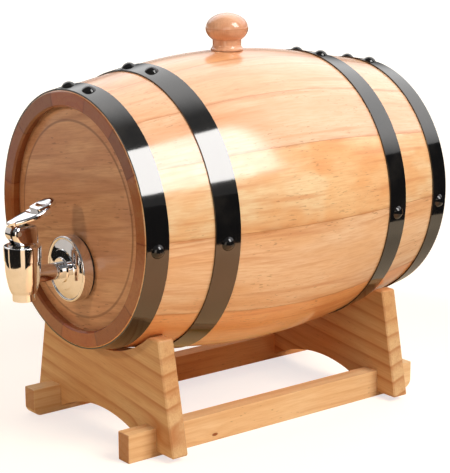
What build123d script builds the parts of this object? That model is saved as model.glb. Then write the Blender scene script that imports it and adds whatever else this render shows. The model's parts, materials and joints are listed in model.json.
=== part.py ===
from build123d import *
import math
import os

os.makedirs("parts", exist_ok=True)

# A small oak cask on a wooden cradle, with a flip-lever tap in the front head and a turned bung on top.
# Millimetres throughout. While it is built, the cask's centre is the origin: +Y runs along its axis away
# from the tap and +Z is up. placed() then moves each piece so that the origin lies on the ground, under
# the middle of the whole object.

# Staves
cask_length = 265.0
belly_radius = 103.5
bend_half_length = 66.0  # the staves are bent as far as this, and run straight from there to their ends
stave_taper = 10.0  # degrees, slope of the straight ends
stave_thickness = 11.0
stave_widths = (24, 23, 30, 35, 34, 30, 32, 26, 32, 32, 34, 28)  # shares of the circle, none quite alike
first_joint = 14.0  # degrees from the top, towards +X
chime_edge = 0.8
chime_bevel = 1.4

# Heads, let into a croze groove in the staves
head_recess = 4.5
head_thickness = 11.0
head_bevel_width = 10.0
head_bevel_drop = 2.0
head_rim_thickness = 4.5
croze_depth = 3.0
croze_clearance = 0.1

# Hoops, riveted strip, each given by its edge nearer the cask's end
hoop_thickness = 1.0
hoop_fit = 0.05
chime_hoop_setback = 0.8  # from the stave ends
chime_hoop_width = 15.2
bilge_hoop_edge = 83.7  # from the cask's middle
bilge_hoop_width = 17.6

# Dome-headed hoop nails
nail_angles = (-7.5, 8.5, 94.0, -94.0)  # degrees from the top, towards +X
nail_head_radius = 4.7
nail_head_height = 2.9
nail_shank_radius = 1.2
nail_length = 8.0
nail_hole_clearance = 0.05

# Bung
bung_hole_radius = 10.5
bung_seat_gap = 0.1
bung_neck_radius = 10.0
bung_flare_radius = 11.4
bung_flare_height = 1.0
bung_neck_height = 4.4
knob_radius = 14.9
knob_height = 21.2
plug_length = 19.0
plug_top_radius = 9.8
plug_tip_radius = 8.6
plug_bevel = 1.5
seal_width = 5.0
seal_depth = 4.0  # below the stave's outside
seal_clearance = 0.1
seal_groove_depth = 0.4
seal_lip = 0.6

# Tap stem, through the front head
flange_edge_gap = 10.85  # from the flange to the lower edge of the head's flat field
stem_radius = 5.7
stem_bore_radius = 3.5
stem_tail = 13.0  # past the inner face of the head
gasket_radius = 21.5
gasket_thickness = 1.8
flange_radius = 22.5
flange_depth = 7.7
flange_rim_round = 1.2
flange_dome_share = 0.62  # where the domed outer face ends, as a share of the flange's radius
flange_dome_rise = 1.5
flange_dome_bow = 0.25
flange_step_rise = 0.6
flange_step_bevel = 0.5
flange_disc_rise = 0.7
flange_boss_radius = 8.6
flange_boss_rise = 1.2
flange_boss_bevel = 0.5
inner_washer_radius = 12.5
inner_washer_thickness = 1.6
nut_across_flats = 19.0
nut_thickness = 6.0

# Tap body. Heights are from the stem's axis.
spout_reach = 41.7  # from the head's outer face to the upright axis
cap_radius = 12.3
cap_top = 21.4
cap_bottom = 11.6
cap_plate = 6.0
cap_edge_round = 0.8
cap_step = 0.5  # the body's top edge lies this far inside the cap
body_waist_radius = 11.2
body_waist_height = 1.0
body_foot_radius = 9.2
body_foot_height = -8.4
body_end_radius = 8.2
body_bottom = -10.7
body_neck_radius = 10.4
chamber_radius = 8.2
seat_height = -4.0
stem_socket_wall = 1.0
nozzle_radius = 7.5
nozzle_bore_radius = 6.0
nozzle_length = 5.0  # below the body
nozzle_tail_radius = 6.9
nozzle_tail_length = 4.0

# Lever bracket
bracket_base_radius = 9.2
bracket_base_height = 1.2
bracket_plug_radius = 6.0
bracket_half_width = 5.8
bracket_slot_half_width = 3.5
bracket_rear = 10.0  # behind the upright axis
bracket_rear_wall = 5.0
bracket_corner = 3.0
bracket_edge_round = 2.8
ear_radius = 4.2
bracket_toe = 1.0  # the rounded toe of each cheek ends this far ahead of the pivot
pivot_forward = 5.2  # ahead of the upright axis
pivot_height = 30.3
pivot_radius = 1.6
pivot_running_clearance = 0.05

# Lever, measured from its pivot along the slope of the blade and square to it
lever_side_clearance = 0.3
lever_boss_radius = 2.7
lever_nose_radius = 5.6
lever_nose_wrap = 28.0  # degrees that the nose carries on below the pivot's level
lever_slope = 18.0
lever_crown_height = 8.2
lever_crown_radius = 30.0
lever_root_thickness = 3.0
lever_front_round = 1.4
lever_start = 2.8  # ahead of the pivot
lever_nose_half_width = 3.6
lever_shoulder = 9.0
lever_shoulder_half_width = 7.2
lever_broadest = 18.0
lever_half_width = 8.4
lever_heel_start = 8.0
lever_heel_end = 25.5
lever_heel_half_width = 7.6
lever_heel_thickness = 5.0
lever_edge_round = 1.6
lever_scoop_radius = 7.0
lever_scoop_depth = 0.9
lever_scoop_reach = 1.2  # ahead of the pad
lever_pad_start = 17.8
lever_pad_front_half_width = 6.0
lever_pad_middle = 26.5
lever_pad_half_width = 7.0
lever_pad_rise = 1.2
lever_pad_thickness = 2.6
lever_pad_corner = 1.8
lever_pad_edge_round = 0.7
lever_length = 34.2
dish_middle = 26.0
dish_radius = 5.4
dish_depth = 1.1

# Valve
valve_stem_radius = 2.0
valve_stem_clearance = 0.05
valve_stem_top_gap = 0.5
seat_washer_radius = 6.0
seat_washer_thickness = 2.5
valve_disc_radius = 5.5
valve_disc_thickness = 1.5
spring_radius = 4.4
spring_wire_radius = 0.45
spring_turns = 6
seal_ring_radius = 0.8

# Cradle
axis_height = 152.4  # of the cask above the ground
front_board_gap = 5.4  # behind the front chime hoop
rear_board_gap = 4.8  # behind the rear bilge hoop
board_thickness = 12.5
board_foot_half_width = 84.0
board_top_half_width = 68.5
board_top_height = 80.4
board_foot_height = 3.3
board_corner = 1.5
board_easing = 0.9
saddle_clearance = 0.3
arch_height = 14.0
rail_outside_half_width = 64.9
rail_width = 11.9
rail_height = 19.8
rail_length = 256.7
rail_round = 6.5
rail_easing = 0.6
screw_radius = 2.0
screw_length = 36.0
screw_head_radius = 3.9
screw_head_height = 2.4
screw_recess = 1.0

# Worked out from the sizes above
half_length = cask_length / 2
bend_radius = bend_half_length / math.sin(math.radians(stave_taper))
shoulder_radius = belly_radius - bend_radius * (1 - math.cos(math.radians(stave_taper)))
taper_ratio = math.tan(math.radians(stave_taper))


def stave_radius(y):
    """Outside radius of the cask at a distance y from its middle."""
    reach = abs(y)
    if reach <= bend_half_length:
        return belly_radius - bend_radius + math.sqrt(bend_radius**2 - reach**2)
    return shoulder_radius - (reach - bend_half_length) * taper_ratio


head_face = half_length - head_recess
croze_outside = head_face - head_bevel_drop
head_throat = stave_radius(croze_outside) - stave_thickness
head_field_radius = head_throat - head_bevel_width
stem_height = flange_radius + flange_edge_gap - head_field_radius
spout_y = -head_face - spout_reach
pivot_y = spout_y - pivot_forward
pivot_z = stem_height + pivot_height
ground = -axis_height
rear_end = half_length
front_end = min(spout_y - cap_radius, pivot_y - lever_nose_radius)
middle_y = (rear_end + front_end) / 2
front_board_y = chime_hoop_setback + chime_hoop_width + front_board_gap + board_thickness / 2 - half_length
rear_board_y = bilge_hoop_edge + rear_board_gap + board_thickness / 2
cradle_middle = (front_board_y + rear_board_y) / 2


def placed(solid):
    return Pos(0, -middle_y, axis_height) * solid


def save(solid, node):
    export_step(placed(solid), f"parts/{node}.step")


def turned(profile, arc=360.0):
    """A face with X as radius and Y along the cask, turned about the cask's axis."""
    return revolve(profile, Axis.Y, arc)


def turned_upright(points):
    """Points of radius and height, turned about the Z axis."""
    return revolve(Plane.XZ * make_face(Polyline(*points, close=True)), Axis.Z)


def rod(radius, low, high):
    return Pos(0, 0, low) * Cylinder(radius, high - low, align=(Align.CENTER, Align.CENTER, Align.MIN))


def tube(radius, bore, low, high):
    return rod(radius, low, high) - rod(bore, low, high)


def across(face, half_width):
    """A face drawn with X forward and back and Y up, made into a plate about the middle plane."""
    return extrude(Plane.YZ * face, half_width, both=True)


# Staves and nails

hoop_spans = {
    "chime": (half_length - chime_hoop_setback - chime_hoop_width, half_length - chime_hoop_setback),
    "bilge": (bilge_hoop_edge - bilge_hoop_width, bilge_hoop_edge),
}
hoops = [(f"{end}_{name}_hoop", side, span)
         for name, span in hoop_spans.items()
         for end, side in (("front", -1), ("rear", 1))]


def nail_place(side, span, angle):
    """Where a nail's head meets the hoop, with Z pointing straight out of the strip."""
    y = sum(span) / 2
    radius = stave_radius(y) + hoop_fit + hoop_thickness
    return Rot(0, angle, 0) * Pos(0, side * y, radius) * Rot(-side * stave_taper, 0, 0)


def nail():
    crown = (nail_head_radius**2 + nail_head_height**2) / (2 * nail_head_height)
    head = (Pos(0, 0, nail_head_height - crown) * Sphere(crown)) & rod(nail_head_radius, 0, nail_head_height)
    return head + rod(nail_shank_radius, -nail_length, 0)


def nail_holes(side, span, angle):
    return nail_place(side, span, angle) * rod(nail_shank_radius + nail_hole_clearance, -nail_length - 1, nail_length)


def stave_section():
    end_radius = stave_radius(half_length)
    inside = stave_thickness
    outline = [
        Polyline((end_radius - inside + chime_bevel, -half_length), (end_radius - chime_edge, -half_length),
                 (stave_radius(half_length - chime_edge), chime_edge - half_length),
                 (shoulder_radius, -bend_half_length)),
        ThreePointArc((shoulder_radius, -bend_half_length), (belly_radius, 0), (shoulder_radius, bend_half_length)),
        Polyline((shoulder_radius, bend_half_length),
                 (stave_radius(half_length - chime_edge), half_length - chime_edge),
                 (end_radius - chime_edge, half_length), (end_radius - inside + chime_bevel, half_length),
                 (stave_radius(half_length - chime_bevel) - inside, half_length - chime_bevel),
                 (shoulder_radius - inside, bend_half_length)),
        ThreePointArc((shoulder_radius - inside, bend_half_length), (belly_radius - inside, 0),
                      (shoulder_radius - inside, -bend_half_length)),
        Polyline((shoulder_radius - inside, -bend_half_length),
                 (stave_radius(half_length - chime_bevel) - inside, chime_bevel - half_length),
                 (end_radius - inside + chime_bevel, -half_length)),
    ]
    section = make_face(outline)
    groove_width = head_rim_thickness + 2 * croze_clearance
    groove_middle = croze_outside - head_rim_thickness / 2
    for side in (-1, 1):
        section -= Pos(head_throat, side * groove_middle) * Rectangle(2 * croze_depth, groove_width)
    return section


def build_staves():
    section = stave_section()
    degrees_each = 360.0 / sum(stave_widths)
    start = first_joint
    bung_hole = rod(bung_hole_radius, 0, belly_radius + 1)
    for number, width in enumerate(stave_widths, 1):
        sweep = width * degrees_each
        stave = Rot(0, start - 90, 0) * turned(section, sweep)
        middle = start + sweep / 2
        for _, side, span in hoops:
            for angle in nail_angles:
                away = abs((angle - middle + 180) % 360 - 180)
                if away < sweep / 2 + 2:
                    stave -= nail_holes(side, span, angle)
        if abs((middle + 180) % 360 - 180) < sweep:
            stave -= bung_hole
        save(stave, f"stave_{number:02d}")
        start += sweep


def build_hoops():
    for name, side, (inner, outer) in hoops:
        low = stave_radius(inner) + hoop_fit
        high = stave_radius(outer) + hoop_fit
        strip = make_face(Polyline((low, side * inner), (high, side * outer), (high + hoop_thickness, side * outer),
                                   (low + hoop_thickness, side * inner), close=True))
        hoop = turned(strip)
        nails = []
        for angle in nail_angles:
            hoop -= nail_holes(side, (inner, outer), angle)
            nails.append(nail_place(side, (inner, outer), angle) * nail())
        save(hoop, name)
        save(Compound(nails), f"{name}_nails")


# Heads


def head_blank():
    """The head for the +Y end, with a bevel all round on both faces."""
    rim_radius = head_throat + croze_depth - croze_clearance
    throat = head_throat - 2 * croze_clearance
    inside = head_face - head_thickness
    rim_inside = croze_outside - head_rim_thickness
    return turned(make_face(Polyline(
        (0, inside), (head_field_radius, inside), (throat, rim_inside), (rim_radius, rim_inside),
        (rim_radius, croze_outside), (throat, croze_outside), (head_field_radius, head_face), (0, head_face),
        close=True)))


def build_heads():
    rear = head_blank()
    front = mirror(rear, Plane.XZ)
    front -= Pos(0, -head_face, stem_height) * Rot(90, 0, 0) * rod(stem_radius, -2 * head_thickness, head_thickness)
    save(front, "front_head")
    save(rear, "rear_head")


# Bung


def build_bung():
    base = belly_radius + bung_seat_gap
    knob_middle = base + bung_neck_height + knob_height / 2
    neck = revolve(Plane.XZ * make_face([
        Polyline((0, base), (bung_flare_radius, base), (bung_flare_radius, base + bung_flare_height)),
        ThreePointArc((bung_flare_radius, base + bung_flare_height),
                      ((bung_flare_radius + 2 * bung_neck_radius) / 3, base + 2 * bung_flare_height),
                      (bung_neck_radius, base + bung_neck_height)),
        Polyline((bung_neck_radius, base + bung_neck_height), (bung_neck_radius, knob_middle), (0, knob_middle),
                 (0, base)),
    ]), Axis.Z)
    knob = Pos(0, 0, knob_middle) * scale(Sphere(1), by=(knob_radius, knob_radius, knob_height / 2))
    knob += neck
    groove_top = belly_radius - seal_depth
    plug = turned_upright([(0, base), (plug_top_radius, base), (plug_tip_radius, base - plug_length + plug_bevel),
                           (plug_tip_radius - plug_bevel, base - plug_length), (0, base - plug_length)])
    land = bung_hole_radius - seal_clearance
    groove = tube(land + 1, plug_tip_radius - seal_groove_depth, groove_top - seal_width, groove_top)
    save(knob + plug - groove, "bung_knob")
    ring = turned_upright([(plug_tip_radius - seal_groove_depth, groove_top - seal_width), (land - seal_lip, groove_top - seal_width),
                           (land, groove_top - seal_width / 2), (land - seal_lip, groove_top),
                           (plug_tip_radius - seal_groove_depth, groove_top)])
    save(ring, "bung_seal")


# Tap stem and what clamps it in the head. Built along Z from the head's outer face, then laid along -Y.


def on_stem(solid):
    return Pos(0, -head_face, stem_height) * Rot(90, 0, 0) * solid


def build_stem():
    gasket = tube(gasket_radius, stem_radius, 0, gasket_thickness)
    save(on_stem(gasket), "flange_gasket")

    back = gasket_thickness
    front = back + flange_depth
    rim = flange_rim_round
    rim_edge = (flange_radius - 2 * rim, front - rim / 2)
    dome_edge = (flange_radius * flange_dome_share, front + flange_dome_rise)
    dome_middle = ((rim_edge[0] + dome_edge[0]) / 2, (rim_edge[1] + dome_edge[1]) / 2 + flange_dome_bow)
    disc_edge = (dome_edge[0] - flange_step_bevel, dome_edge[1] + flange_step_rise)
    disc_top = disc_edge[1] + flange_disc_rise
    boss_top = disc_top + flange_boss_rise
    flange = revolve(Plane.XZ * make_face([
        Polyline((stem_radius, back), (flange_radius, back), (flange_radius, front - rim)),
        ThreePointArc((flange_radius, front - rim), (flange_radius - rim, front), rim_edge),
        ThreePointArc(rim_edge, dome_middle, dome_edge),
        Polyline(dome_edge, disc_edge, (flange_boss_radius, disc_top),
                 (flange_boss_radius - flange_boss_bevel, boss_top), (stem_radius, boss_top), (stem_radius, back)),
    ]), Axis.Z)
    save(on_stem(flange), "tap_flange")

    inner = -head_thickness
    tail = inner - stem_tail
    root = spout_reach - chamber_radius - stem_socket_wall
    save(on_stem(tube(stem_radius, stem_bore_radius, tail, root)), "tap_stem")

    washer_end = inner - inner_washer_thickness
    save(on_stem(tube(inner_washer_radius, stem_radius, washer_end, inner)), "inner_washer")
    nut_end = washer_end - nut_thickness
    nut = extrude(Pos(0, 0, nut_end) * RegularPolygon(nut_across_flats / 2, 6, major_radius=False), nut_thickness)
    save(on_stem(nut - rod(stem_radius, nut_end - 1, washer_end + 1)), "stem_nut")


# Tap body, built about its upright axis with the stem's axis at height 0


def on_spout(solid):
    return Pos(0, spout_y, stem_height) * solid


def build_body():
    shell = revolve(Plane.XZ * make_face([
        Polyline((0, body_bottom), (body_end_radius, body_bottom), (body_foot_radius, body_foot_height)),
        ThreePointArc((body_foot_radius, body_foot_height), (body_waist_radius, body_waist_height),
                      (cap_radius - cap_step, cap_bottom)),
        Polyline((cap_radius - cap_step, cap_bottom), (body_neck_radius, cap_bottom),
                 (body_neck_radius, cap_top - cap_plate), (0, cap_top - cap_plate), (0, body_bottom)),
    ]), Axis.Z)
    shell -= rod(chamber_radius, seat_height, cap_top)
    shell -= rod(stem_bore_radius, body_bottom - 1, seat_height)
    shell -= rod(nozzle_tail_radius, body_bottom - 1, body_bottom + nozzle_tail_length)
    socket = rod(stem_radius, chamber_radius + stem_socket_wall, cap_radius + 1)
    port = rod(stem_bore_radius, 0, cap_radius + 1)
    shell -= Rot(-90, 0, 0) * (socket + port)
    save(on_spout(shell), "tap_body")

    nozzle = rod(nozzle_radius, body_bottom - nozzle_length, body_bottom)
    nozzle += rod(nozzle_tail_radius, body_bottom, body_bottom + nozzle_tail_length)
    nozzle -= rod(nozzle_bore_radius, body_bottom - nozzle_length, body_bottom + nozzle_tail_length)
    save(on_spout(nozzle), "tap_nozzle")

    cap = rod(cap_radius, cap_bottom, cap_top)
    cap = fillet(cap.edges().group_by(Axis.Z)[-1], cap_edge_round)
    cap -= rod(body_neck_radius, cap_bottom, cap_top - cap_plate)
    cap -= rod(bracket_plug_radius, cap_bottom, cap_top + 1)
    save(on_spout(cap), "tap_cap")


def build_bracket():
    base_top = cap_top + bracket_base_height
    top = pivot_height + ear_radius
    front = -pivot_forward - ear_radius
    toe = -pivot_forward - bracket_toe
    drop = pivot_height - base_top
    toe_radius = ((toe - front)**2 + drop**2) / (2 * (toe - front))
    half_sweep = math.asin(drop / toe_radius) / 2
    toe_middle = (front + toe_radius * (1 - math.cos(half_sweep)), pivot_height - toe_radius * math.sin(half_sweep))
    ear_share = ear_radius * math.sqrt(0.5)
    cheek = make_face([
        Polyline((toe, base_top), (bracket_rear, base_top), (bracket_rear, top), (-pivot_forward, top)),
        ThreePointArc((-pivot_forward, top), (-pivot_forward - ear_share, pivot_height + ear_share),
                      (front, pivot_height)),
        ThreePointArc((front, pivot_height), toe_middle, (toe, base_top)),
    ])
    block = across(cheek, bracket_half_width)
    block = fillet(block.edges().filter_by(Axis.Z).group_by(Axis.Y)[-1], bracket_corner)
    for edges in (block.faces().sort_by(Axis.X)[0].edges(), block.faces().sort_by(Axis.X)[-1].edges()):
        rounded = [edge for edge in edges if edge.center().Z > base_top + 0.1]
        block = fillet(rounded, bracket_edge_round)
    slot_rear = bracket_rear - bracket_rear_wall
    slot_length = slot_rear - front + 1
    block -= Pos(0, slot_rear - slot_length / 2, base_top) * Box(
        2 * bracket_slot_half_width, slot_length, top + ear_radius - base_top,
        align=(Align.CENTER, Align.CENTER, Align.MIN))
    block += rod(bracket_base_radius, cap_top, base_top)
    block += rod(bracket_plug_radius, cap_top - cap_plate, cap_top)
    block -= rod(valve_stem_radius + valve_stem_clearance, 0, base_top + 1)
    groove_middle = cap_top - cap_plate / 2
    ring_centre = valve_stem_radius + valve_stem_clearance + seal_ring_radius
    block -= tube(ring_centre + seal_ring_radius, valve_stem_radius, groove_middle - seal_ring_radius,
                  groove_middle + seal_ring_radius)
    pin = Pos(0, -pivot_forward, pivot_height) * Rot(0, 90, 0) * rod(pivot_radius, -bracket_half_width,
                                                                    bracket_half_width)
    save(on_spout(block - pin), "lever_bracket")
    save(on_spout(pin), "lever_pin")
    ring = revolve(Plane.XZ * (Pos(ring_centre, groove_middle) * Circle(seal_ring_radius)), Axis.Z)
    save(on_spout(ring), "stem_seal")


# Lever, drawn in its own frame: the pivot is the origin and X runs back along the blade


def lever_side():
    """Side view of the blade before it is tilted. It deepens towards its heel, just before the thumb pad's tip."""
    top = lever_crown_height
    front = lever_front_round
    nose = front - lever_start
    return make_face([
        Polyline((nose, top - lever_root_thickness), (lever_heel_start, top - lever_root_thickness),
                 (lever_heel_end, top - lever_heel_thickness), (lever_heel_end, top), (nose, top)),
        ThreePointArc((nose, top), (-lever_start, top - front), (nose, top - lever_root_thickness)),
    ])


def lever_plan():
    """Plan of the blade: a round nose that spreads into a broad leaf."""
    nose = lever_start - lever_nose_half_width
    near = [(-nose, lever_nose_half_width), (lever_shoulder, lever_shoulder_half_width),
            (lever_broadest, lever_half_width), (lever_heel_end, lever_heel_half_width)]
    far = [(x, -y) for x, y in near]
    return make_face([
        ThreePointArc(far[0], (-lever_start, 0), near[0]),
        Spline(near),
        Line(near[-1], far[-1]),
        Spline(far),
    ])


def pad_plan():
    """Plan of the thumb pad: nearly square in front and round at its tip."""
    return make_face([
        Polyline((lever_pad_middle, lever_pad_half_width), (lever_pad_start, lever_pad_front_half_width),
                 (lever_pad_start, -lever_pad_front_half_width), (lever_pad_middle, -lever_pad_half_width)),
        ThreePointArc((lever_pad_middle, -lever_pad_half_width), (lever_length, 0),
                      (lever_pad_middle, lever_pad_half_width)),
    ])


def lever_pad():
    top = lever_crown_height + lever_pad_rise
    pad = Pos(0, 0, top - lever_pad_thickness) * extrude(Rot(0, 0, 90) * pad_plan(), lever_pad_thickness)
    pad = fillet(pad.edges().filter_by(Axis.Z), lever_pad_corner)
    pad = fillet(pad.edges().group_by(Axis.Z)[-1], lever_pad_edge_round)
    ball = (dish_radius**2 + dish_depth**2) / (2 * dish_depth)
    return pad - Pos(0, dish_middle, top + ball - dish_depth) * Sphere(ball)


def lever_blade():
    blade = across(lever_side(), lever_half_width + 1)
    blade &= extrude(Rot(0, 0, 90) * lever_plan(), 2 * lever_crown_height)
    blade &= Pos(0, 0, lever_crown_height - lever_crown_radius) * Rot(90, 0, 0) * Cylinder(
        lever_crown_radius, 4 * lever_length)
    long_edges = blade.edges().filter_by(lambda edge: edge.length > lever_length / 2 and edge.geom_type != GeomType.LINE)
    high = long_edges.group_by(Axis.Z)[-1]
    blade = fillet(high, lever_edge_round)
    scoop_lift = lever_crown_height + lever_scoop_radius - lever_scoop_depth
    blade -= Pos(0, lever_pad_start - lever_scoop_reach, scoop_lift) * Rot(0, 90, 0) * Cylinder(
        lever_scoop_radius, 4 * lever_half_width)
    return blade + lever_pad()


def lever_root():
    """The part of the lever that turns between the bracket's cheeks."""
    wrap = math.radians(lever_nose_wrap)
    nose_end = (-lever_nose_radius * math.cos(wrap), -lever_nose_radius * math.sin(wrap))
    nose = make_face([
        Line((0, 0), (0, lever_nose_radius)),
        ThreePointArc((0, lever_nose_radius), (-lever_nose_radius, 0), nose_end),
        Line(nose_end, (0, 0)),
    ])
    web_height = lever_crown_height - lever_root_thickness + 1
    web = Pos(0, web_height / 2) * Rectangle(2 * lever_boss_radius, web_height)
    return across(nose + Circle(lever_boss_radius) + web, bracket_slot_half_width - lever_side_clearance)


def build_lever():
    lever = Rot(lever_slope, 0, 0) * (lever_blade() + lever_root())
    lever -= Rot(0, 90, 0) * rod(pivot_radius + pivot_running_clearance, -bracket_half_width, bracket_half_width)
    save(Pos(0, pivot_y, pivot_z) * lever, "tap_lever")


def build_valve():
    washer_top = seat_height + seat_washer_thickness
    disc_top = washer_top + valve_disc_thickness
    tilt = math.radians(lever_slope)
    under_blade = (lever_crown_height - lever_root_thickness) / math.cos(tilt)
    over_stem = (pivot_forward - valve_stem_radius) * math.tan(tilt)
    stem_top = pivot_height + under_blade + over_stem - valve_stem_top_gap
    stem = rod(valve_disc_radius, washer_top, disc_top) + rod(valve_stem_radius, disc_top, stem_top)
    save(on_spout(stem), "valve_stem")
    washer = rod(seat_washer_radius, seat_height, washer_top)
    save(on_spout(washer), "seat_washer")
    wire = spring_wire_radius
    height = cap_top - cap_plate - disc_top - 2 * wire
    path = Helix(height / spring_turns, height, spring_radius)
    section = Plane(path @ 0, z_dir=path % 0) * Circle(wire)
    coil = Pos(0, 0, disc_top + wire) * sweep(section, path)
    save(on_spout(coil), "return_spring")


# Cradle


def rail_middle():
    return rail_outside_half_width - rail_width / 2


def screw_places():
    for side in (-1, 1):
        for board_y in (front_board_y, rear_board_y):
            yield Pos(side * rail_middle(), board_y, ground)


def screw_hole():
    return rod(screw_radius, 0, screw_length) + rod(screw_head_radius, 0, screw_recess) + Pos(
        0, 0, screw_recess + screw_head_height / 2) * Cone(screw_head_radius, screw_radius, screw_head_height)


def screw():
    shank = rod(screw_radius, screw_recess, screw_length)
    head = Pos(0, 0, screw_recess + screw_head_height / 2) * Cone(screw_head_radius, screw_radius, screw_head_height)
    return shank + head


def board_blank(foot, top):
    """The sawn board with its corners rounded and the edges of both faces eased."""
    outline = make_face(Polyline(
        (-board_foot_half_width, foot), (board_foot_half_width, foot), (board_top_half_width, top),
        (-board_top_half_width, top), close=True))
    outline = fillet(outline.vertices(), board_corner)
    plank = extrude(Plane.XZ * outline, board_thickness / 2, both=True)
    faces = plank.faces().sort_by(Axis.Y)
    return chamfer(faces[0].edges() + faces[-1].edges(), board_easing)


def board(board_y):
    foot = ground + board_foot_height
    plank = board_blank(foot, ground + board_top_height)
    inner_face = abs(board_y) - board_thickness / 2
    arch_half = rail_outside_half_width - rail_width
    arch_radius = (arch_half**2 + arch_height**2) / (2 * arch_height)
    rail_top = ground + rail_height
    notch = Rectangle(rail_width, rail_top - foot + 2, align=(Align.CENTER, Align.MAX))
    cutout = Circle(stave_radius(inner_face) + saddle_clearance)
    cutout += Pos(0, foot + arch_height - arch_radius) * Circle(arch_radius)
    for side in (-1, 1):
        cutout += Pos(side * rail_middle(), rail_top) * notch
    plank -= extrude(Plane.XZ * cutout, board_thickness, both=True)
    plank = Pos(0, board_y, 0) * plank
    for place in screw_places():
        plank -= place * screw_hole()
    return plank


def rail(side):
    """side is -1 or 1. One lower corner of each rail is rounded, at opposite ends."""
    bar = Pos(side * rail_middle(), cradle_middle, ground + rail_height / 2) * Box(rail_width, rail_length, rail_height)
    low_edges = bar.edges().filter_by(Axis.X).group_by(Axis.Z)[0]
    rounded = low_edges.sort_by(Axis.Y)[-1 if side > 0 else 0]
    bar = fillet(rounded, rail_round)
    ends = bar.faces().sort_by(Axis.Y)
    bar = chamfer(ends[0].edges() + ends[-1].edges(), rail_easing)
    for place in screw_places():
        bar -= place * screw_hole()
    return bar


def build_cradle():
    save(board(front_board_y), "front_cradle_board")
    save(board(rear_board_y), "rear_cradle_board")
    save(rail(-1), "left_rail")
    save(rail(1), "right_rail")
    save(Compound([place * screw() for place in screw_places()]), "cradle_screws")


build_staves()
build_hoops()
build_heads()
build_bung()
build_stem()
build_body()
build_bracket()
build_lever()
build_valve()
build_cradle()
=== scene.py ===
import bmesh
import bpy
import json
import math
from mathutils import Matrix, Vector


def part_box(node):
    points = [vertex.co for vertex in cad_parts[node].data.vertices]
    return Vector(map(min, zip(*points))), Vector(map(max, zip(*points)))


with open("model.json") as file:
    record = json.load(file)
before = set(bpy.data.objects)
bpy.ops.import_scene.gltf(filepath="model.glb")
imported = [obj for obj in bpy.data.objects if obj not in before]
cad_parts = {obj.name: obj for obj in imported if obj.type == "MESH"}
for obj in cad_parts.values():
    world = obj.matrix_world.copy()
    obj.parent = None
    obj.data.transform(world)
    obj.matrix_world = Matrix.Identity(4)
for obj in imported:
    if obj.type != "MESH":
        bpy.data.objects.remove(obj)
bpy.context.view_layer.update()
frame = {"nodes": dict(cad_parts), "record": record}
nodes = frame["nodes"]
millimetre = 0.001
caskMiddle = (0.0, 0.02475, 0.1524)  # where the cask's axis crosses its widest part
white = (1.0, 1.0, 1.0, 1.0)
print("frame loaded with", len(nodes), "nodes")


def towards(azimuth, elevation):
    # azimuth 0 is the way that the tap faces, and it grows towards the cask's right
    turn = math.radians(azimuth)
    rise = math.radians(elevation)
    return Vector((math.sin(turn) * math.cos(rise), -math.cos(turn) * math.cos(rise), math.sin(rise)))


cameraLook = {
    "place": (0.880415, -0.663888, 0.383517),
    "azimuth": 52.059,
    "elevation": 13.176,
    "roll": -0.186,
    "lens": 121.70,
    "sensor": 36.0,
    "clip": (0.01, 50.0),
}


def makeCamera(look):
    back = towards(look["azimuth"], look["elevation"])
    right = (-back).cross(Vector((0, 0, 1))).normalized()
    up = right.cross(-back)
    roll = math.radians(look["roll"])
    side = right * math.cos(roll) + up * math.sin(roll)
    top = up * math.cos(roll) - right * math.sin(roll)
    data = bpy.data.cameras.new("camera")
    data.lens = look["lens"]
    data.sensor_width = look["sensor"]
    data.sensor_fit = "AUTO"
    data.clip_start, data.clip_end = look["clip"]
    camera = bpy.data.objects.new("camera", data)
    axes = Matrix((side, top, back)).transposed()
    camera.matrix_world = Matrix.Translation(look["place"]) @ axes.to_4x4()
    bpy.context.scene.collection.objects.link(camera)
    bpy.context.scene.camera = camera


makeCamera(cameraLook)
print("camera placed")


class Wire:
    # a socket in a node tree that takes + - * / with other wires and numbers
    def __init__(self, tree, socket=None):
        self.tree = tree
        self.socket = socket

    def node(self, kind, settings=None, sockets=None, output=0):
        made = self.tree.nodes.new(kind)
        for name, value in (settings or {}).items():
            if name == "stops":
                setStops(made.color_ramp, value)
            else:
                setattr(made, name, value)
        for name, value in (sockets or {}).items():
            if isinstance(value, Wire):
                self.tree.links.new(value.socket, made.inputs[name])
            else:
                made.inputs[name].default_value = value
        return Wire(self.tree, made.outputs[output] if output is not None else None)

    def maths(self, operation, first, second=0.0):
        return self.node("ShaderNodeMath", {"operation": operation}, {0: first, 1: second})

    def __add__(self, other):
        return self.maths("ADD", self, other)

    def __radd__(self, other):
        return self.maths("ADD", other, self)

    def __sub__(self, other):
        return self.maths("SUBTRACT", self, other)

    def __rsub__(self, other):
        return self.maths("SUBTRACT", other, self)

    def __mul__(self, other):
        return self.maths("MULTIPLY", self, other)

    def __rmul__(self, other):
        return self.maths("MULTIPLY", other, self)

    def __truediv__(self, other):
        return self.maths("DIVIDE", self, other)


def setStops(ramp, stops):
    # each stop is a place on the ramp and its level of grey
    while len(ramp.elements) > 1:
        ramp.elements.remove(ramp.elements[-1])
    ramp.elements[0].position = stops[0][0]
    ramp.elements[0].color = (stops[0][1], stops[0][1], stops[0][1], 1.0)
    for place, level in stops[1:]:
        ramp.elements.new(place).color = (level, level, level, 1.0)


def colour(red, green, blue):
    # display values 0..255 to the linear values that shaders take
    out = []
    for value in (red, green, blue):
        share = value / 255.0
        out.append(share / 12.92 if share <= 0.04045 else ((share + 0.055) / 1.055) ** 2.4)
    return (*out, 1.0)


def scaled(tone, share):
    return (*(share * value for value in tone[:3]), 1.0)


def newFinish(name):
    material = bpy.data.materials.new(name)
    material.use_nodes = True
    material.node_tree.nodes.clear()
    return material, Wire(material.node_tree)


def closeFinish(wire, shader):
    wire.node("ShaderNodeOutputMaterial", {}, {"Surface": shader}, None)


def dress(name, material):
    node = nodes[name]
    node.data.materials.clear()
    node.data.materials.append(material)


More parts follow.
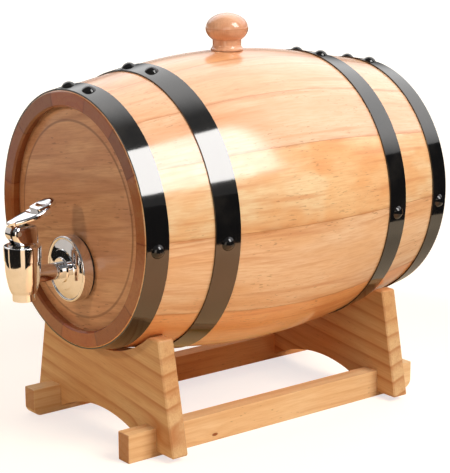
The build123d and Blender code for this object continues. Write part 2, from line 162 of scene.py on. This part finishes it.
def stepUp(value, low, high):
    # 0 below low, 1 above high, smooth between
    return value.node("ShaderNodeMapRange", {"interpolation_type": "SMOOTHSTEP"},
                      {"Value": value, "From Min": low, "From Max": high})


def vectorMaths(operation, first, second, output=0):
    return first.node("ShaderNodeVectorMath", {"operation": operation}, {0: first, 1: second}, output)


def lengthOf(vector):
    return vector.node("ShaderNodeVectorMath", {"operation": "LENGTH"}, {0: vector}, 1)


def noise(place, scale, detail=2.0, rough=0.5):
    # scale is per unit of place, along each of its axes
    return place.node("ShaderNodeTexNoise", {"noise_dimensions": "3D"}, {
        "Vector": vectorMaths("MULTIPLY", place, scale), "Scale": 1.0, "Detail": detail, "Roughness": rough})


def blend(factor, first, second):
    return factor.node("ShaderNodeMix", {"data_type": "RGBA"}, {0: factor, 6: first, 7: second}, 2)


def tinted(factor, first, second):
    return first.node("ShaderNodeMix", {"data_type": "RGBA", "blend_type": "MULTIPLY"},
                      {0: factor, 6: first, 7: second}, 2)


def split(place):
    return [place.node("ShaderNodeSeparateXYZ", {}, {0: place}, axis) for axis in range(3)]


def join(x, y, z):
    wire = x if isinstance(x, Wire) else y
    return wire.node("ShaderNodeCombineXYZ", {}, {0: x, 1: y, 2: z})


# The entries from glowReach to tapFrom hold the metres over which one glow of the floor becomes another.
stageLook = {
    "floorSize": 60.0,
    "floorColour": (0.60, 0.48, 0.34, 1.0),
    "glowNear": (0.66, 0.66, 0.67, 1.0),
    "glowFar": (0.90, 0.90, 0.90, 1.0),
    "glossSide": (1.00, 0.38, 0.10, 1.0),
    "glossUnder": (0.36, 0.18, 0.03, 1.0),
    "glossRear": (0.0, 0.0, 0.0, 1.0),
    "glowReach": (0.35, 2.2),
    "rearFrom": (0.05, 0.25),
    "sideFrom": (0.03, 0.20),
    "tapFrom": (-0.22, -0.08),
    "sky": 0.18,
    "skyPatch": 1.65,
    "patchWays": ((-164, 27), (-112, 32)),
    "patchEdges": ((0.66, 0.80), (0.78, 0.92)),
    "patchFoot": (0.14, 0.42),
    "horizon": 0.80,
    "horizonTop": (0.06, 0.12),
    "cardStep": 4,
    "dark": (0.015, 0.014, 0.013, 1.0),
    "pale": (0.62, 0.60, 0.57, 1.0),
}
cardLooks = [
    # the azimuths that each card spans, its lower and upper edge, its distance and its tone
    {"name": "darkCardRight", "span": (46, 285), "height": (0.040, 0.25), "radius": 0.37, "tone": "dark"},
    {"name": "darkCardLeft", "span": (285, 339), "height": (0.06, 0.12), "radius": 0.38, "tone": "dark"},
    {"name": "paleCardLeft", "span": (285, 339), "height": (0.12, 0.33), "radius": 0.38, "tone": "pale"},
    {"name": "darkCardFront", "span": (345, 388), "height": (0.066, 0.25), "radius": 0.38, "tone": "dark"},
]
lampLooks = [
    # the azimuth, elevation and distance are seen from the cask's middle; level is per area
    {"name": "sideBox", "azimuth": 108, "elevation": 42, "distance": 1.7, "size": (0.74, 1.10),
     "level": 11.0, "tint": (1.0, 1.0, 1.0)},
    {"name": "cameraFill", "azimuth": 52, "elevation": 12, "distance": 2.4, "size": (1.6, 1.1),
     "level": 1.9, "tint": (1.0, 0.88, 0.74)},
    {"name": "frontSpot", "azimuth": -6, "elevation": 20, "distance": 1.5, "size": (0.10, 0.10),
     "level": 124.0, "tint": (1.0, 0.80, 0.58)},
]


def makeLamp(look):
    data = bpy.data.lights.new(look["name"], "AREA")
    data.shape = "RECTANGLE"
    data.size, data.size_y = look["size"]
    data.energy = look["level"] * math.pi * data.size * data.size_y
    data.color = look["tint"]
    lamp = bpy.data.objects.new(look["name"], data)
    way = towards(look["azimuth"], look["elevation"])
    lamp.rotation_euler = way.to_track_quat("Z", "Y").to_euler()
    lamp.location = Vector(caskMiddle) + way * look["distance"]
    lamp.visible_camera = False
    bpy.context.scene.collection.objects.link(lamp)


def makeObject(name, work, material):
    mesh = bpy.data.meshes.new(name)
    work.to_mesh(mesh)
    work.free()
    mesh.materials.append(material)
    made = bpy.data.objects.new(name, mesh)
    bpy.context.scene.collection.objects.link(made)
    return made


def seenRays(wire):
    # 1 for the rays that show a background, and 1 for the glossy ones among them
    path = wire.node("ShaderNodeLightPath")
    gloss = Wire(wire.tree, path.socket.node.outputs["Is Glossy Ray"])
    through = Wire(wire.tree, path.socket.node.outputs["Is Transmission Ray"])
    return path.maths("MAXIMUM", path.maths("MAXIMUM", path, gloss), through), gloss


def floorFinish(look):
    # brighter far away, where the lamps no longer reach, so that the background is even,
    # and warm near by in reflections, most of all on the right, but dark behind the cask
    material, wire = newFinish("whiteFloor")
    seen, gloss = seenRays(wire)
    x, y = split(wire.node("ShaderNodeTexCoord", {}, {}, 3))[:2]
    away = x.maths("SQRT", x * x + y * y)
    front = 1.0 - stepUp(y, *look["rearFrom"])
    side = stepUp(x, *look["sideFrom"]) * stepUp(y, *look["tapFrom"])
    warm = blend(front, look["glossRear"], blend(side, look["glossUnder"], look["glossSide"]))
    near = blend(gloss, look["glowNear"], warm)
    tint = blend(stepUp(away, *look["glowReach"]), near, look["glowFar"])
    matt = wire.node("ShaderNodeBsdfDiffuse", {}, {"Color": look["floorColour"]})
    glow = wire.node("ShaderNodeEmission", {}, {"Color": tint, "Strength": seen})
    closeFinish(wire, wire.node("ShaderNodeAddShader", {}, {0: matt, 1: glow}))
    return material


def makeFloor(look):
    work = bmesh.new()
    bmesh.ops.create_grid(work, x_segments=1, y_segments=1, size=look["floorSize"] / 2)
    floor = makeObject("floor", work, floorFinish(look))


def makeCard(card, look):
    # a bent card standing round the set, out of the picture, that gives gloss and chrome their bands
    material, wire = newFinish(card["name"])
    closeFinish(wire, wire.node("ShaderNodeBsdfDiffuse", {}, {"Color": look[card["tone"]]}))
    start, end = card["span"]
    low, high = card["height"]
    foot = towards(start, 0) * card["radius"] + Vector((0, caskMiddle[1], low))
    work = bmesh.new()
    corners = [work.verts.new(foot + Vector((0, 0, rise))) for rise in (0, high - low)]
    edge = work.edges.new(corners)
    bmesh.ops.spin(work, geom=[*corners, edge], cent=caskMiddle, axis=(0, 0, 1), use_merge=False,
                   angle=math.radians(end - start), steps=(end - start) // look["cardStep"])
    made = makeObject(card["name"], work, material)
    made.visible_camera = False
    made.visible_shadow = False


def makeWorld(look):
    # a dim sky with two soft bright patches, and a pale horizon that is seen but lights nothing
    world = bpy.data.worlds.new("studio")
    world.use_nodes = True
    world.node_tree.nodes.clear()
    wire = Wire(world.node_tree)
    way = wire.node("ShaderNodeTexCoord", {}, {}, 0)
    patches = []
    for middle, edge in zip(look["patchWays"], look["patchEdges"]):
        near = vectorMaths("DOT_PRODUCT", way, tuple(towards(*middle)), 1)
        patches.append(stepUp(near, *edge))
    rise = split(way)[2]
    patch = way.maths("MAXIMUM", *patches) * stepUp(rise, *look["patchFoot"])
    low = (1.0 - stepUp(rise, *look["horizonTop"])) * seenRays(wire)[0]
    level = look["sky"] + look["skyPatch"] * patch + look["horizon"] * low
    sky = wire.node("ShaderNodeBackground", {}, {"Color": white, "Strength": level})
    wire.node("ShaderNodeOutputWorld", {}, {"Surface": sky}, None)
    bpy.context.scene.world = world
    bpy.context.scene.view_settings.view_transform = "Standard"


makeFloor(stageLook)
for cardLook in cardLooks:
    makeCard(cardLook, stageLook)
makeWorld(stageLook)
for lampLook in lampLooks:
    makeLamp(lampLook)
print("stage and", len(lampLooks), "lamps set")


def localPlace(wire, middle, turn=(0.0, 0.0, 0.0)):
    # object coordinates in millimetres, from a middle point, turned to a piece's own axes
    seat = wire.node("ShaderNodeTexCoord", {}, {}, 3)
    return wire.node("ShaderNodeMapping", {"vector_type": "TEXTURE"}, {
        "Vector": seat, "Location": middle, "Rotation": turn, "Scale": (millimetre, millimetre, millimetre)})


def boxMiddle(box):
    low, high = box
    return ((low.x + high.x) / 2, (low.y + high.y) / 2, (low.z + high.z) / 2)


def grainNoise(place, across, along, detail=2.0, rough=0.5):
    # as coarse into the wood as across it
    return noise(place, (across, along, across), detail, rough)


# What all the woods share. A size is a noise's scale per millimetre, across and along the board, here and
# in the looks of the pieces. An edge holds the two levels of a noise between which its mark comes up.
grainLook = {
    "seedShift": 37.0,
    "seedWay": (1.0, 1.7, 0.3),
    "rippleSize": (0.12, 0.02),
    "ringStops": ((0.0, 0.75), (0.07, 0.05), (0.45, 0.0), (0.80, 0.45), (0.95, 1.0), (1.0, 0.75)),
    "knotShape": (1.0, 0.45, 0.5),
    "knotCore": 0.6,
    "fadeSize": (0.05, 0.008),
    "cloudEdge": (0.34, 0.66),
    "amberTone": (1.0, 0.86, 0.75, 1.0),
    "amberWander": 60.0,
    "amberFades": (14.0, 18.0),
    "streakSize": (0.22, 0.010),
    "streakEdge": (0.52, 0.72),
    "fibreEdge": (0.38, 0.68),
    "dashRise": 0.05,
    "spreadSize": (0.04, 0.02),
    "spreadEdge": (0.42, 0.62),
    "fibreHeight": 0.35,
    "lineHeight": 0.5,
    "dashHeight": 0.8,
    "fibreRough": 0.10,
    "dentDepth": 0.0002,
    "lacquerIor": 1.5,
}


def growthRings(place, moved, look):
    # how far each point lies into its ring, from 0 to 1, and the dark cores of the knots
    across, depth = split(place)[::2]
    sway = grainNoise(moved, *look["swaySize"], detail=1.5)
    ripple = grainNoise(moved, *grainLook["rippleSize"])
    pithX, pithZ = look["pith"]
    radius = lengthOf(join(across - pithX, 0.0, depth - pithZ))
    rings = (radius + (sway - 0.5) * look["sway"] + (ripple - 0.5) * look["ripple"]) / look["ringGap"]
    cores = []
    for knot in look.get("knots", ()):
        away = vectorMaths("MULTIPLY", vectorMaths("SUBTRACT", place, knot["at"]), grainLook["knotShape"])
        gap = lengthOf(away)
        rings = rings + knot["push"] * (1.0 - stepUp(gap, 0.0, knot["reach"]))
        cores.append(1.0 - stepUp(gap, knot["size"] * grainLook["knotCore"], knot["size"]))
    return rings.maths("FRACT", rings), cores


def amberPatch(place, cloud, base, ends):
    # a warmer stretch of the board, whose ends wander with the clouds
    reach = split(place)[1] + (cloud - 0.5) * grainLook["amberWander"]
    start, end = ends
    startFade, endFade = grainLook["amberFades"]
    inside = stepUp(reach, start, start + startFade) * (1.0 - stepUp(reach, end, end + endFade))
    return tinted(inside, base, grainLook["amberTone"])


def woodFinish(place, look, darks=()):
    # place runs across the board, along the grain and into the wood, in millimetres
    shift = look["seed"] * grainLook["seedShift"]
    moved = vectorMaths("ADD", place, tuple(shift * share for share in grainLook["seedWay"]))
    phase, cores = growthRings(place, moved, look)
    late = phase.node("ShaderNodeValToRGB", {"stops": grainLook["ringStops"]}, {0: phase})
    fade = grainNoise(moved, *grainLook["fadeSize"], detail=1.0)
    late = late * stepUp(fade, look["lineStart"], look["lineFull"]) * look["lineStrength"]
    cloud = grainNoise(moved, *look["cloudSize"], detail=2.5, rough=0.55)
    fibre = grainNoise(moved, *look["fibreSize"], detail=4.0, rough=0.62)
    streak = grainNoise(moved, *grainLook["streakSize"])
    dash = grainNoise(moved, *look["dashSize"], detail=1.0, rough=0.4)
    spread = grainNoise(moved, *grainLook["spreadSize"], detail=1.0)
    dash = stepUp(dash, look["dashFrom"], look["dashFrom"] + grainLook["dashRise"])
    dash = dash * stepUp(spread, *grainLook["spreadEdge"]) * look["dash"]
    base = blend(stepUp(cloud, *grainLook["cloudEdge"]), look["pale"], look["deep"])
    if "amber" in look:
        base = amberPatch(place, cloud, base, look["amber"])
    base = blend(late, base, look["line"])
    base = blend(stepUp(streak, *grainLook["streakEdge"]) * look["streak"], base, look["line"])
    base = blend(stepUp(fibre, *grainLook["fibreEdge"]) * look["fibre"], base, look["line"])
    base = blend(dash, base, look["dashColour"])
    for dark in (*darks, *cores):
        base = blend(dark, base, look["dark"])
    height = fibre * grainLook["fibreHeight"] + late * grainLook["lineHeight"]
    height = height - dash * grainLook["dashHeight"]
    rough = look["rough"] + fibre * grainLook["fibreRough"]
    return base, rough, height


def closeWood(wire, base, rough, height, look):
    dent = wire.node("ShaderNodeBump", {}, {
        "Strength": look["bump"], "Distance": grainLook["dentDepth"], "Height": height})
    closeFinish(wire, wire.node("ShaderNodeBsdfPrincipled", {}, {
        "Base Color": base, "Roughness": rough, "Normal": dent, "Specular IOR Level": look["sheen"],
        "Coat Weight": look["coat"], "Coat Roughness": look["coatRough"],
        "Coat IOR": grainLook["lacquerIor"]}))


# The joints' angles are in degrees from the top of the cask towards its right, the lengths in millimetres.
staveLook = {
    "firstJoint": 14.0,
    "shares": (24, 23, 30, 35, 34, 30, 32, 26, 32, 32, 34, 28),
    "bellyRadius": 103.5,
    "bulge": 0.000997,
    "arcRadius": 96.0,
    "jointLine": (0.05, 0.35),
    "jointDark": 0.85,
    "jointDepth": 1.5,
    "jointStain": 2.6,
    "stainDark": 0.55,
    "fraySize": (0.3, 0.03),
    "frayEdge": (0.35, 0.65),
    "endFace": (131.9, 132.3),
    "shadedWallDepth": (7.5, 8.3),
    # endGrainAndWallShade darkens the end faces, as their end grain is darker, and the inner wall of the
    # recess, where it is painted shade
    "endGrainAndWallShade": (0.35, 0.19, 0.10, 1.0),
    "endSpread": 0.22,
    "endTurn": (4.1, 0.6),
    "endJointLine": 0.9,
    "pithDepth": -34.0,
    "pithSpread": (8.0, 9.0),
    "pithTurn": (2.4, 1.7),
}
staveCommon = {
    "swaySize": (0.02, 0.004), "sway": 26.0, "ripple": 1.6, "ringGap": 5.2, "lineStart": 0.38,
    "lineFull": 0.72, "lineStrength": 0.40, "cloudSize": (0.05, 0.012), "fibreSize": (0.9, 0.07),
    "fibre": 0.34, "streak": 0.55, "dashSize": (1.25, 0.20), "dashFrom": 0.665, "dash": 0.42,
    "dashColour": colour(168, 108, 66), "dark": colour(190, 116, 62), "rough": 0.36, "bump": 0.25,
    "coat": 1.0, "coatRough": 0.16, "sheen": 0.15,
}
staveTonesWithPaintedLight = [
    # pale, deep, line, and what differs from the common look; the tones differ from stave to stave as wood
    # does, and in part they are painted light: the staves at the bottom are tinted more orange, for the warm
    # light bounced up from below, and those above paler
    (colour(234, 191, 151), colour(230, 177, 132), colour(218, 144, 96), {}),
    (colour(236, 195, 156), colour(232, 178, 136), colour(222, 149, 100), {"dash": 0.5}),
    (colour(247, 213, 163), colour(241, 184, 127), colour(221, 146, 92),
     {"cloudSize": (0.05, 0.028), "amber": (-10.0, 66.0)}),
    (colour(249, 205, 159), colour(245, 189, 135), colour(217, 141, 89), {"dash": 0.6, "lineStrength": 0.6}),
    (colour(252, 181, 117), colour(246, 164, 97), colour(222, 129, 67), {"dash": 0.5}),
    (colour(244, 176, 113), colour(236, 156, 93), colour(210, 123, 64), {}),
    (colour(238, 192, 140), colour(230, 170, 116), colour(208, 136, 84), {"lineStrength": 0.7}),
    (colour(232, 180, 126), colour(224, 160, 106), colour(204, 128, 76), {}),
    (colour(240, 200, 148), colour(234, 180, 124), colour(216, 144, 90), {"dash": 0.55}),
    (colour(234, 184, 130), colour(226, 164, 110), colour(208, 134, 80), {"cloudSize": (0.05, 0.02)}),
    (colour(238, 195, 144), colour(234, 179, 125), colour(216, 142, 88), {}),
    (colour(237, 182, 132), colour(233, 170, 116), colour(221, 135, 83), {"lineStrength": 0.7}),
]


def stavePith(number):
    # each stave is sawn from its own place in the log
    sideSpread, depthSpread = staveLook["pithSpread"]
    sideTurn, depthTurn = staveLook["pithTurn"]
    side = sideSpread * math.sin(number * sideTurn)
    return side, staveLook["pithDepth"] - depthSpread * math.cos(number * depthTurn)


def staveFinish(number, start, end, tones):
    pale, deep, line, own = tones
    look = {**staveCommon, "pale": pale, "deep": deep, "line": line, "seed": number + 1,
            "pith": stavePith(number), **own}
    material, wire = newFinish("staveWood%02d" % (number + 1))
    half = math.radians((end - start) / 2)
    place = localPlace(wire, caskMiddle, (0.0, math.radians((start + end) / 2), 0.0))
    x, y, z = split(place)
    angle = x.maths("ARCTAN2", x, z)
    depth = lengthOf(join(x, 0.0, z)) + y * y * staveLook["bulge"] - staveLook["bellyRadius"]
    bent = join(angle * staveLook["arcRadius"], y, depth)
    toJoint = (half - angle.maths("ABSOLUTE", angle)) * staveLook["arcRadius"]
    fray = stepUp(grainNoise(place, *staveLook["fraySize"]), *staveLook["frayEdge"])
    stain = (1.0 - stepUp(toJoint, 0.0, staveLook["jointStain"])) * fray * staveLook["stainDark"]
    # 1 on the end faces, darker as end grain is, and on the inner wall of the recess, whose darkening is
    # painted shade
    onEnd = stepUp(y.maths("ABSOLUTE", y), *staveLook["endFace"])
    onEnd = onEnd.maths("MAXIMUM", onEnd, stepUp(0.0 - depth, *staveLook["shadedWallDepth"]))
    seamStart, seamEnd = staveLook["jointLine"]
    seam = 1.0 - stepUp(toJoint, seamStart, seamEnd + onEnd * staveLook["endJointLine"])
    seam = seam * staveLook["jointDark"]
    base, rough, height = woodFinish(bent, look, [stain.maths("MAXIMUM", stain, seam)])
    step, first = staveLook["endTurn"]
    share = 1.0 + staveLook["endSpread"] * math.sin(number * step + first)
    # painted shade on the inner wall, end grain on the end faces
    base = tinted(onEnd, base, scaled(staveLook["endGrainAndWallShade"], share))
    closeWood(wire, base, rough, height - seam * staveLook["jointDepth"], look)
    return material


def dressStaves():
    angle = staveLook["firstJoint"]
    for number, share in enumerate(staveLook["shares"]):
        dress("stave_%02d" % (number + 1), staveFinish(number, angle, angle + share, staveTonesWithPaintedLight[number]))
        angle += share


dressStaves()
print("staves dressed")


headLook = {
    "swaySize": (0.02, 0.005), "sway": 14.0, "ripple": 1.4, "ringGap": 4.2, "lineStart": 0.40,
    "lineFull": 0.75, "lineStrength": 0.45, "cloudSize": (0.05, 0.014), "fibreSize": (0.9, 0.06),
    "fibre": 0.34, "streak": 0.5, "dashSize": (0.62, 0.12), "dashFrom": 0.655, "dash": 0.5,
    "pale": colour(219, 168, 125), "deep": colour(204, 147, 106), "line": colour(167, 109, 71),
    "dashColour": colour(123, 76, 49), "dark": colour(112, 67, 42), "rough": 0.42, "bump": 0.3, "coat": 0.6,
    "coatRough": 0.2, "sheen": 0.2, "pith": (6.0, -46.0), "grainRise": 10.0,
    "scribeRadius": 66.15, "scribeEdge": (0.25, 1.3), "scribeShade": 0.6, "scribeDepth": 1.5,
}


def headFinish(name, seed):
    # the grain rises towards the cask's right, and a scribed circle runs round the head, darkened with
    # painted shade in its groove
    look = {**headLook, "seed": seed}
    material, wire = newFinish(name)
    place = localPlace(wire, caskMiddle, (0.0, -math.radians(look["grainRise"]), 0.0))
    x, y, z = split(place)
    offCircle = lengthOf(join(x, 0.0, z)) - look["scribeRadius"]
    ring = 1.0 - stepUp(offCircle.maths("ABSOLUTE", offCircle), *look["scribeEdge"])
    # the scribed ring's darkening is painted shade
    base, rough, height = woodFinish(join(z, x, y), look, [ring * look["scribeShade"]])
    closeWood(wire, base, rough, height - ring * look["scribeDepth"], look)
    return material


dress("front_head", headFinish("frontHeadWood", 21))
dress("rear_head", headFinish("rearHeadWood", 27))
print("heads dressed")


cradleCommon = {
    "swaySize": (0.02, 0.006), "sway": 5.0, "ripple": 0.8, "ringGap": 10.0, "lineStart": 0.25,
    "lineFull": 0.6, "lineStrength": 0.92, "cloudSize": (0.03, 0.01), "fibreSize": (0.9, 0.05),
    "fibre": 0.30, "streak": 0.3, "dashSize": (1.0, 0.25), "dashFrom": 0.70, "dash": 0.4,
    "pale": colour(223, 182, 130), "deep": colour(216, 164, 110), "line": colour(184, 118, 65),
    "dashColour": colour(140, 88, 49), "dark": colour(112, 59, 29), "rough": 0.42, "bump": 0.3, "coat": 0.45,
    "coatRough": 0.22, "sheen": 0.25,
}
boardLook = {**cradleCommon, "pith": (-120.0, 30.0), "grainRise": -7.6, "shadeEdge": (8.0, 52.0)}
railLook = {
    **cradleCommon, "ringGap": 6.0, "sway": 6.0, "lineStrength": 0.5, "pale": colour(249, 214, 164),
    "deep": colour(241, 196, 142), "line": colour(216, 154, 98), "dark": colour(152, 82, 41),
    "frontEnd": (-96.0, -84.0), "endDepth": (0.7, 0.1), "endDark": 0.66,
}
# painted shade: the rear board but for its right edge, and the left rail but for its front end, are tinted
# darker and more red, standing in for the cask's shadow over them
rearShadeTone = (0.92, 0.62, 0.44, 1.0)
leftRailShadeTone = (1.0, 0.68, 0.47, 1.0)


def boardFinish(name, box, seed, knots, tone=white):
    look = {**boardLook, "seed": seed, "knots": knots}
    material, wire = newFinish(name)
    place = localPlace(wire, boxMiddle(box), (0.0, -math.radians(look["grainRise"]), 0.0))
    x, y, z = split(place)
    base, rough, height = woodFinish(join(z, x, y), look)
    # painted shade: the board is tinted by its tone on its left, fading out towards its right edge
    paintedShade = 1.0 - stepUp(x, *look["shadeEdge"])
    closeWood(wire, tinted(paintedShade, base, tone), rough, height, look)
    return material


def railFinish(name, box, seed, pith, knots, tone=white):
    low, high = box
    look = {**railLook, "seed": seed, "pith": pith, "knots": knots}
    material, wire = newFinish(name)
    x, y, z = split(localPlace(wire, boxMiddle(box)))
    base, rough, height = woodFinish(join(z, y, x), look)
    halfLength = (high.y - low.y) / 2 / millimetre
    endStart, endFull = look["endDepth"]
    onEnd = stepUp(y.maths("ABSOLUTE", y), halfLength - endStart, halfLength - endFull) * look["endDark"]
    # painted shade: behind its front end the rail is tinted by its tone; its end faces are darker as end
    # grain is
    base = blend(onEnd, tinted(stepUp(y, *look["frontEnd"]), base, tone), look["dark"])
    closeWood(wire, base, rough, height, look)
    return material


dress("front_cradle_board", boardFinish("frontBoardWood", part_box("front_cradle_board"), 31, [
    {"at": (-24.0, 78.0, 2.0), "size": 1.2, "reach": 22.0, "push": 1.6}]))
dress("rear_cradle_board", boardFinish("rearBoardWood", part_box("rear_cradle_board"), 38, [
    {"at": (18.0, -30.0, 0.0), "size": 2.6, "reach": 18.0, "push": 1.2}], rearShadeTone))
dress("right_rail", railFinish("rightRailWood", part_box("right_rail"), 43, (-42.0, -16.0), [
    {"at": (-5.4, -57.0, 5.9), "size": 1.35, "reach": 9.0, "push": 0.7}]))
dress("left_rail", railFinish("leftRailWood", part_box("left_rail"), 47, (-36.0, 22.0), [
    {"at": (3.0, 48.0, -5.9), "size": 1.5, "reach": 8.0, "push": 0.7}], leftRailShadeTone))
print("cradle dressed")


knobLook = {
    **staveCommon, "ringGap": 2.6, "sway": 3.0, "ripple": 0.8, "lineStrength": 0.3, "streak": 0.25,
    "fibre": 0.2, "dash": 0.2, "pale": colour(225, 171, 133), "deep": colour(209, 144, 106),
    "line": colour(178, 110, 74), "rough": 0.3, "coatRough": 0.06, "pith": (-22.0, 6.0), "seed": 53,
    "turnedDrop": 0.0106, "turnedEdge": (0.1, 0.45), "turnedDark": 0.45, "turnedDepth": 1.2,
}


def knobFinish():
    # a fine line is turned round the knob
    low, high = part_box("bung_knob")
    middle = boxMiddle((low, high))
    material, wire = newFinish("knobWood")
    place = localPlace(wire, (middle[0], middle[1], high.z - knobLook["turnedDrop"]))
    x, y, z = split(place)
    turnedLine = 1.0 - stepUp(z.maths("ABSOLUTE", z), *knobLook["turnedEdge"])
    base, rough, height = woodFinish(join(x, z, y), knobLook, [turnedLine * knobLook["turnedDark"]])
    closeWood(wire, base, rough, height - turnedLine * knobLook["turnedDepth"], knobLook)
    return material


dress("bung_knob", knobFinish())
print("knob dressed")


paintLook = {
    "black": colour(17, 17, 18), "worn": colour(34, 32, 30), "rough": 0.055, "coat": 0.0, "ior": 1.80,
    "warm": (1.0, 0.97, 0.94, 1.0), "peelSize": (0.9, 0.9, 0.9), "dent": 0.05, "dentDepth": 0.0001,
    "rubSize": (0.05, 0.05, 0.05), "rubEdge": (0.45, 0.75), "rubRough": 0.04, "coatRough": 0.05,
}
nailLook = {**paintLook, "worn": colour(20, 19, 18), "rough": 0.12, "coat": 0.3, "ior": 1.42}


def paintFinish(name, look):
    # gloss black enamel: a faint orange peel, and greyer where hands have rubbed it
    material, wire = newFinish(name)
    place = localPlace(wire, caskMiddle)
    peel = noise(place, look["peelSize"])
    rub = noise(place, look["rubSize"], detail=3.0, rough=0.6)
    base = blend(stepUp(rub, *look["rubEdge"]), look["black"], look["worn"])
    dent = wire.node("ShaderNodeBump", {}, {
        "Strength": look["dent"], "Distance": look["dentDepth"], "Height": peel})
    closeFinish(wire, wire.node("ShaderNodeBsdfPrincipled", {}, {
        "Base Color": base, "Roughness": look["rough"] + rub * look["rubRough"], "Normal": dent,
        "IOR": look["ior"], "Specular Tint": look["warm"], "Coat Weight": look["coat"],
        "Coat Roughness": look["coatRough"]}))
    return material


metalCommon = {
    "hazeSize": (0.25, 0.25, 0.25), "hazeEdge": (0.40, 0.80), "haze": 0.25, "hazeTone": 0.8,
    "hazeRough": 0.03, "lineRough": 0.3,
}
chromeLook = {**metalCommon, "tint": (0.80, 0.80, 0.82, 1.0), "rough": 0.045, "lineSize": (0.6, 0.6, 0.6)}
steelLook = {**metalCommon, "tint": (0.62, 0.62, 0.63, 1.0), "rough": 0.24, "lineSize": (4.0, 4.0, 0.3)}
zincLook = {**metalCommon, "tint": (0.62, 0.56, 0.40, 1.0), "rough": 0.32, "lineSize": (3.0, 3.0, 3.0)}


def metalFinish(name, look):
    material, wire = newFinish(name)
    place = localPlace(wire, caskMiddle)
    haze = noise(place, look["hazeSize"], detail=3.0, rough=0.6)
    lines = noise(place, look["lineSize"])
    dull = scaled(look["tint"], look["hazeTone"])
    base = blend(stepUp(haze, *look["hazeEdge"]) * look["haze"], look["tint"], dull)
    rough = look["rough"] + haze * look["hazeRough"] + lines * look["rough"] * look["lineRough"]
    closeFinish(wire, wire.node("ShaderNodeBsdfPrincipled", {}, {
        "Base Color": base, "Metallic": 1.0, "Roughness": rough}))
    return material


softCommon = {
    "grainSize": (2.0, 2.0, 2.0), "grain": 0.5, "grainTone": 0.7, "grainRough": 0.1,
    "dent": 0.2, "dentDepth": 0.0001,
}
rubberLook = {**softCommon, "tint": colour(24, 22, 21), "rough": 0.62, "coat": 0.0}
siliconeLook = {**softCommon, "tint": colour(224, 221, 212), "rough": 0.38, "coat": 0.3}


def softFinish(name, look):
    material, wire = newFinish(name)
    place = localPlace(wire, caskMiddle)
    grain = noise(place, look["grainSize"], detail=3.0, rough=0.6)
    base = blend(grain * look["grain"], look["tint"], scaled(look["tint"], look["grainTone"]))
    dent = wire.node("ShaderNodeBump", {}, {
        "Strength": look["dent"], "Distance": look["dentDepth"], "Height": grain})
    closeFinish(wire, wire.node("ShaderNodeBsdfPrincipled", {}, {
        "Base Color": base, "Roughness": look["rough"] + grain * look["grainRough"], "Normal": dent,
        "Coat Weight": look["coat"]}))
    return material


slotFinishes = {
    "hoop_steel": paintFinish("hoopEnamel", paintLook),
    "nail_steel": paintFinish("nailEnamel", nailLook),
    "tap_chrome": metalFinish("tapChrome", chromeLook),
    "bare_steel": metalFinish("stainlessSteel", steelLook),
    "screw_steel": metalFinish("yellowZinc", zincLook),
    "dark_rubber": softFinish("sealRubber", rubberLook),
    "clear_silicone": softFinish("milkySilicone", siliconeLook),
}
for part in frame["record"]["subparts"]:
    if part["material_slot"] in slotFinishes:
        dress(part["node"], slotFinishes[part["material_slot"]])
print("metal and rubber dressed")
